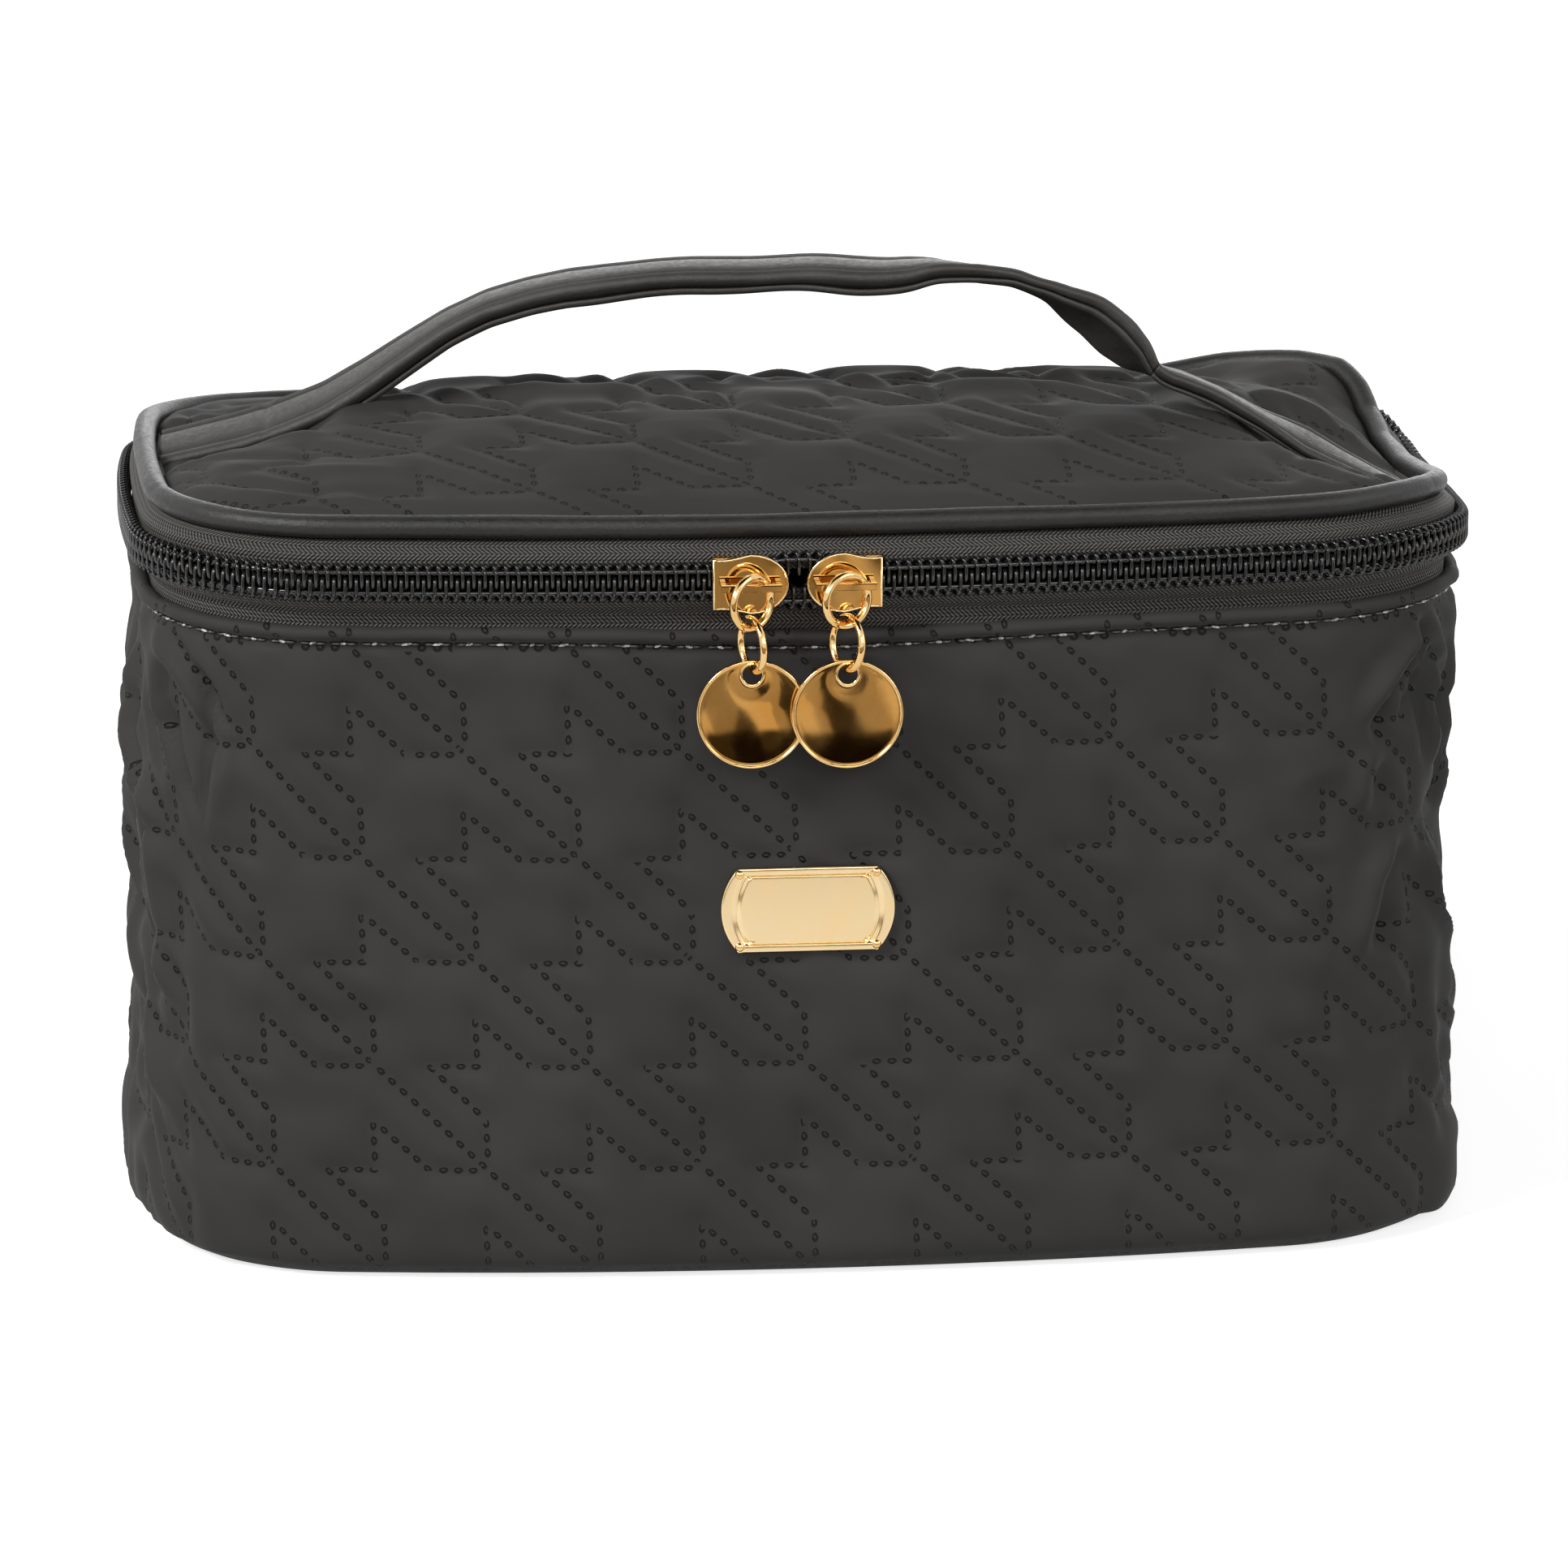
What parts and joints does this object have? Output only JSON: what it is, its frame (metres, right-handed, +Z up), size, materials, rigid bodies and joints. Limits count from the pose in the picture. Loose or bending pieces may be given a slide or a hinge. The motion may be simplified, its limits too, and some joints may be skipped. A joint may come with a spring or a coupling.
{
  "type": "padded vanity case",
  "caption": "Zip-round vanity case in quilted faux leather, with a padded hinged lid, a strap handle, ring and coin zip pulls and a bare metal plate.",
  "frame": {"origin": "middle of the flat base, on the floor that the case stands on", "axes": "+X to the right along the front, +Y from the front with the plate to the hinge at the back, +Z up"},
  "size_m": [0.2482, 0.155, 0.1771],
  "materials": {
    "faux_leather": "matt, fine grain",
    "piping_leather": "satin",
    "zip_tape": "matt twill",
    "zip_coil": "glossy nylon",
    "lining": "matt woven",
    "padding": "open foam",
    "board": "pressed board",
    "piping_cord": "extruded cord",
    "gold_metal": "polished",
    "pale_gold_metal": "polished",
    "steel": "plain"
  },
  "bodies": {
    "case": {"wall_cover": "faux_leather", "wall_foam": "padding", "wall_lining": "lining", "base_cover": "faux_leather", "base_board": "board", "floor_lining": "lining", "zip_tape_lower": "zip_tape", "zip_coil_lower": "zip_coil", "hinge_strip": "faux_leather", "badge_plate": "pale_gold_metal", "badge_backing": "steel"},
    "lid": {"lid_cover": "faux_leather", "lid_foam": "padding", "lid_lining": "lining", "lid_piping": "piping_leather", "lid_piping_cord": "piping_cord", "zip_tape_upper": "zip_tape", "zip_coil_upper": "zip_coil", "strap_end_left": "piping_leather", "strap_end_right": "piping_leather"},
    "handle": {"handle_strap": "piping_leather", "handle_core": "padding"},
    "slider_left": {"slider_left": "gold_metal", "bridge_left": "gold_metal"},
    "ring_left": {"ring_left": "gold_metal"},
    "link_left": {"link_left": "gold_metal"},
    "coin_left": {"coin_left": "gold_metal"},
    "slider_right": {"slider_right": "gold_metal", "bridge_right": "gold_metal"},
    "ring_right": {"ring_right": "gold_metal"},
    "link_right": {"link_right": "gold_metal"},
    "coin_right": {"coin_right": "gold_metal"}
  },
  "joints": [
    {"name": "lid_hinge", "type": "hinge", "parent": "case", "child": "lid", "pos_m": [0, 0.0735, 0.1313], "axis": [-1, 0, 0], "range_deg": [0, 180], "deforming": ["hinge_strip"]},
    {"name": "handle_swing", "type": "hinge", "parent": "lid", "child": "handle", "pos_m": [0, -0.007, 0.15177], "axis": [0.9945, -0.1045, 0], "range_deg": [-70, 70], "stiffness_Nm_per_rad": 0.02},
    {"name": "slider_left_travel", "type": "hinge", "parent": "case", "child": "slider_left", "pos_m": [0, 0.61, 0.1313], "axis": [0, 0, 1], "range_deg": [-5.5, 0], "deforming": ["zip_coil_lower", "zip_coil_upper"]},
    {"name": "ring_left_swing", "type": "hinge", "parent": "slider_left", "child": "ring_left", "pos_m": [-0.01332, -0.07762, 0.1313], "axis": [-0.9998, 0.0194, 0], "range_deg": [0, 95]},
    {"name": "link_left_swing", "type": "hinge", "parent": "ring_left", "child": "link_left", "pos_m": [-0.01333, -0.07853, 0.1243], "axis": [-0.0194, -0.9998, 0], "range_deg": [-20, 15]},
    {"name": "coin_left_swing", "type": "hinge", "parent": "link_left", "child": "coin_left", "pos_m": [-0.01332, -0.07799, 0.11647], "axis": [-0.0194, -0.9998, 0], "range_deg": [-45, 40]},
    {"name": "slider_right_travel", "type": "hinge", "parent": "case", "child": "slider_right", "pos_m": [0, 0.61, 0.1313], "axis": [0, 0, 1], "range_deg": [0, 6.3], "deforming": ["zip_coil_lower", "zip_coil_upper"]},
    {"name": "ring_right_swing", "type": "hinge", "parent": "slider_right", "child": "ring_right", "pos_m": [0.00363, -0.07774, 0.1313], "axis": [-1, -0.0053, 0], "range_deg": [0, 95]},
    {"name": "link_right_swing", "type": "hinge", "parent": "ring_right", "child": "link_right", "pos_m": [0.00363, -0.07809, 0.1243], "axis": [0.0053, -1, 0], "range_deg": [-10, 25]},
    {"name": "coin_right_swing", "type": "hinge", "parent": "link_right", "child": "coin_right", "pos_m": [0.00364, -0.07972, 0.11662], "axis": [0.0053, -1, 0], "range_deg": [-30, 45]}
  ],
  "couplings": [
    {"joint": "ring_left_swing", "follows": "ring_right_swing", "ratio": 1}
  ]
}
